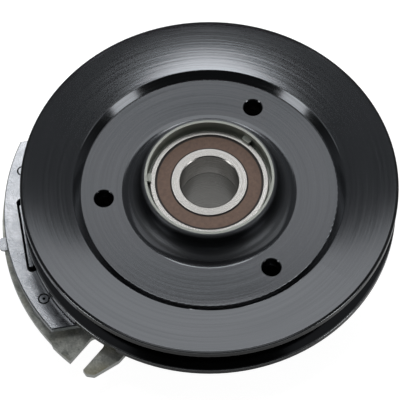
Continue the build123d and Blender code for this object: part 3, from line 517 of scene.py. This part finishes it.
in_nose = add(tree, "ShaderNodeMath",
              {0: add(tree, "ShaderNodeMapRange",
                      {"Value": out, "From Min": nose_radius, "From Max": nose_radius + 0.15 * mm,
                       "To Min": 1, "To Max": 0}).outputs["Result"],
               1: add(tree, "ShaderNodeMapRange",
                      {"Value": up, "From Min": nose_foot - 0.1 * mm, "From Max": nose_foot,
                       "To Min": 0, "To Max": 1}).outputs["Result"]},
              operation="MULTIPLY").outputs[0]
groove_painted_shade = add(tree, "ShaderNodeMath",
                {0: add(tree, "ShaderNodeMapRange",
                        {"Value": out, "From Min": groove_bottom,
                         "From Max": groove_bottom + 0.1 * mm, "To Min": 0,
                         "To Max": 1}).outputs["Result"],
                 1: add(tree, "ShaderNodeMapRange",
                        {"Value": up, "From Min": groove_low, "From Max": groove_low + 0.1 * mm,
                         "To Min": 0, "To Max": 1}).outputs["Result"]},
                operation="MULTIPLY").outputs[0]
groove_painted_shade = add(tree, "ShaderNodeMath",
                {0: groove_painted_shade,
                 1: add(tree, "ShaderNodeMapRange",
                        {"Value": up, "From Min": groove_high, "From Max": groove_high + 0.1 * mm,
                         "To Min": 1, "To Max": 0}).outputs["Result"]},
                operation="MULTIPLY").outputs[0]
bead_start, bead_full, highlight_start, highlight_full = 81.2 * mm, 81.35 * mm, 81.8 * mm, 82.0 * mm
wall_start, wall_full, wall_fade, wall_end = 80.9 * mm, 81.1 * mm, 81.3 * mm, 81.4 * mm
# The rim's bead and the groove are painted near black: painted shade.
bead_painted_shade = add(tree, "ShaderNodeMapRange",
           {"Value": out, "From Min": bead_start, "From Max": bead_full, "To Min": 0,
            "To Max": 1}).outputs["Result"]
oxide = add(tree, "ShaderNodeMix", {"Factor": bead_painted_shade, "A": oxide, "B": linear("#1e1f20")},
            data_type="RGBA").outputs["Result"]
oxide = add(tree, "ShaderNodeMix", {"Factor": groove_painted_shade, "A": oxide, "B": linear("#222325")},
            data_type="RGBA").outputs["Result"]
oxide = add(tree, "ShaderNodeMix", {"Factor": in_nose, "A": oxide, "B": linear("#b5b8b1")},
            data_type="RGBA").outputs["Result"]
facing = add(tree, "ShaderNodeSeparateXYZ",
             {0: add(tree, "ShaderNodeNewGeometry").outputs["True Normal"]}).outputs["Z"]
tilt = add(tree, "ShaderNodeMath", {0: facing}, operation="ABSOLUTE").outputs[0]
corner = add(tree, "ShaderNodeMath",
             {0: add(tree, "ShaderNodeMapRange",
                     {"Value": tilt, "From Min": 0.15, "From Max": 0.35, "To Min": 0,
                      "To Max": 1}).outputs["Result"],
              1: add(tree, "ShaderNodeMapRange",
                     {"Value": tilt, "From Min": 0.85, "From Max": 0.97, "To Min": 1,
                      "To Max": 0}).outputs["Result"]}, operation="MULTIPLY").outputs[0]
# The rim's corners and the bead's wall are painted pale grey, patchy: painted highlights.
painted_corner_highlight = add(tree, "ShaderNodeMath",
             {0: corner,
              1: add(tree, "ShaderNodeMapRange",
                     {"Value": out, "From Min": highlight_start, "From Max": highlight_full, "To Min": 0,
                      "To Max": 1}).outputs["Result"]}, operation="MULTIPLY").outputs[0]
lip_near = add(tree, "ShaderNodeMath",
               {0: add(tree, "ShaderNodeMapRange",
                       {"Value": out, "From Min": wall_start, "From Max": wall_full, "To Min": 0,
                        "To Max": 1}).outputs["Result"],
                1: add(tree, "ShaderNodeMapRange",
                       {"Value": out, "From Min": wall_fade, "From Max": wall_end, "To Min": 1,
                        "To Max": 0}).outputs["Result"]}, operation="MULTIPLY").outputs[0]
bead_wall_highlight = add(tree, "ShaderNodeMath",
                {0: lip_near,
                 1: add(tree, "ShaderNodeMapRange",
                        {"Value": tilt, "From Min": 0.5, "From Max": 0.8, "To Min": 1,
                         "To Max": 0}).outputs["Result"]}, operation="MULTIPLY").outputs[0]
painted_corner_highlight = add(tree, "ShaderNodeMath", {0: painted_corner_highlight, 1: bead_wall_highlight}, operation="MAXIMUM").outputs[0]
highlight_patches = add(tree, "ShaderNodeMapRange",
           {"Value": add(tree, "ShaderNodeTexNoise",
                         {"Vector": add(tree, "ShaderNodeTexCoord").outputs["Object"],
                          "Scale": 1 / (2.5 * mm), "Detail": 3}).outputs["Fac"], "From Min": 0.3,
            "From Max": 0.7, "To Min": 0.55, "To Max": 1}).outputs["Result"]
painted_corner_highlight = add(tree, "ShaderNodeMath", {0: painted_corner_highlight, 1: highlight_patches}, operation="MULTIPLY").outputs[0]
oxide = add(tree, "ShaderNodeMix", {"Factor": painted_corner_highlight, "A": oxide, "B": linear("#a9acae")},
            data_type="RGBA").outputs["Result"]
tree.links.new(oxide, surface.inputs["Base Color"])
polish = add(tree, "ShaderNodeMapRange",
             {"Value": lathe, "From Min": 0.3, "From Max": 0.7, "To Min": 0.11,
              "To Max": 0.145}).outputs["Result"]
nose_wall_full, nose_wall_end = 34 * mm, 36.5 * mm
nose_wall = add(tree, "ShaderNodeMapRange",
                {"Value": out, "From Min": nose_wall_full, "From Max": nose_wall_end, "To Min": 1,
                 "To Max": 0}).outputs["Result"]
polish = add(tree, "ShaderNodeMix", {"Factor": nose_wall, "A": polish, "B": 0.42}).outputs["Result"]
tree.links.new(add(tree, "ShaderNodeMix",
                   {"Factor": in_nose, "A": polish, "B": 0.45}).outputs["Result"],
               surface.inputs["Roughness"])
wavy = add(tree, "ShaderNodeTexNoise",
           {"Vector": round_axis(tree, 0.05), "Scale": 1 / (3.2 * mm)}).outputs["Fac"]
marks = add(tree, "ShaderNodeMath", {0: wavy, 1: 1.6, 2: lathe},
            operation="MULTIPLY_ADD").outputs[0]
tree.links.new(add(tree, "ShaderNodeBump",
                   {"Height": marks, "Distance": 0.005 * mm}).outputs["Normal"],
               surface.inputs["Normal"])
coat(black_oxide, "pulley")


# Studio. A pale floor, a large soft light overhead, a lower soft light on the far side, and the
# camera, which looks down on the pulley from the side of the fork.

look_at = Vector((0, 0, 60 * mm))
view_azimuth, view_elevation, view_distance = math.radians(308.2), math.radians(61.09), 1.0
toward_camera = Vector((math.cos(view_azimuth), math.sin(view_azimuth), 0))
back = toward_camera * math.cos(view_elevation) + Vector((0, 0, math.sin(view_elevation)))
camera = bpy.data.objects.new("camera", bpy.data.cameras.new("camera"))
bpy.context.scene.collection.objects.link(camera)
camera.location = look_at + back * view_distance
camera.rotation_mode = "QUATERNION"
camera.rotation_quaternion = (-back).to_track_quat("-Z", "Y")
camera.data.sensor_width = 36
camera.data.lens = 206.6
camera.data.shift_x, camera.data.shift_y = -0.02325, -0.04725
bpy.context.scene.camera = camera

floor_mesh = bpy.data.meshes.new("floor")
half, floor_gap = 6.0, 0.2 * mm
floor_mesh.from_pydata([(-half, -half, 0), (half, -half, 0), (half, half, 0), (-half, half, 0)], [],
                       [(0, 1, 2, 3)])
floor = bpy.data.objects.new("floor", floor_mesh)
bpy.context.scene.collection.objects.link(floor)
floor.location.z = -floor_gap
# White paper: plain and matt, lit so that it reads as a clean ground, and clear from below.
paper, tree, surface = new_finish("white_paper_sweep", 0.9, 0.0)
surface.inputs["Base Color"].default_value = linear("#808080")
surface.inputs["Emission Color"].default_value = linear("#ffffff")
seen = add(tree, "ShaderNodeLightPath").outputs["Is Camera Ray"]
tree.links.new(add(tree, "ShaderNodeMapRange",
                   {"Value": seen, "To Min": 0.25, "To Max": 0.95}).outputs["Result"],
               surface.inputs["Emission Strength"])
open_below = add(tree, "ShaderNodeMixShader", {
    0: add(tree, "ShaderNodeNewGeometry").outputs["Backfacing"], 1: surface.outputs["BSDF"],
    2: add(tree, "ShaderNodeBsdfTransparent").outputs["BSDF"]})
tree.links.new(open_below.outputs["Shader"], tree.nodes["Material Output"].inputs["Surface"])
floor_mesh.materials.append(paper)

right = Vector((-math.sin(view_azimuth), math.cos(view_azimuth), 0))


def softbox(name, far, aside, up, wide, deep, brightness):
    """A soft light at a place measured from the pulley's face, that shines on the pulley."""
    lamp = bpy.data.lights.new(name, "AREA")
    lamp.shape, lamp.size, lamp.size_y = "RECTANGLE", wide, deep
    lamp.energy = brightness * math.pi * wide * deep
    holder = bpy.data.objects.new(name, lamp)
    bpy.context.scene.collection.objects.link(holder)
    holder.location = look_at - toward_camera * far + right * aside + Vector((0, 0, up))
    holder.rotation_mode = "QUATERNION"
    holder.rotation_quaternion = (look_at - holder.location).to_track_quat("-Z", "Y")
    return holder


# Each has its metres beyond, beside and above the pulley's face, its two sizes and its brightness.
softbox("ceiling_softbox", 0.72, 0.0, 1.32, 0.5, 0.2, 0.95)
softbox("far_softbox", 1.06, 0.0, 1.06, 0.7, 0.62, 1.3)
softbox("far_low_softbox", 1.36, 0.0, 0.62, 0.9, 0.25, 4.6)
softbox("overhead_softbox", 0.108, 0.0, 0.4, 0.11, 0.03, 6.0)
softbox("left_softbox", -0.48, -0.93, 0.58, 0.34, 0.4, 2.9)
softbox("right_softbox", -0.48, 0.93, 0.58, 0.34, 0.4, 2.9)
softbox("left_wall_panel", 0.0, -0.75, 1.2, 0.8, 0.7, 0.55)
softbox("right_wall_panel", 0.0, 0.75, 1.2, 0.8, 0.7, 0.55)
softbox("near_wall_panel", -0.95, 0.0, 1.5, 0.9, 0.6, 0.12)
fill = softbox("overhead_fill", -0.05, -0.1, 1.4, 0.35, 0.35, 17.5)
fill.visible_glossy = False
back_fill = softbox("back_fill", 0.9, 0.0, 0.35, 1.2, 0.5, 2.2)
back_fill.visible_glossy = False

world = bpy.data.worlds.new("studio")
bpy.context.scene.world = world
world.use_nodes = True
tree = world.node_tree
direction = add(tree, "ShaderNodeTexCoord").outputs["Generated"]
upward = add(tree, "ShaderNodeSeparateXYZ", {0: direction}).outputs["Z"]
onward = add(tree, "ShaderNodeVectorMath", {0: direction, 1: -toward_camera},
             operation="DOT_PRODUCT").outputs["Value"]
wall = add(tree, "ShaderNodeMapRange", {"Value": onward, "From Min": -0.1, "From Max": 0.35,
                                        "To Min": 0.04, "To Max": 0.2}).outputs["Result"]
room = tree.nodes["Background"]
room.inputs["Color"].default_value = linear("#e8ecf0")
backdrop = add(tree, "ShaderNodeMath",
               {0: add(tree, "ShaderNodeLightPath").outputs["Is Camera Ray"], 1: 0.95},
               operation="MULTIPLY").outputs[0]
tree.links.new(add(tree, "ShaderNodeMath", {0: wall, 1: backdrop}, operation="MAXIMUM").outputs[0],
               room.inputs["Strength"])
bpy.context.scene.view_settings.view_transform = "Standard"
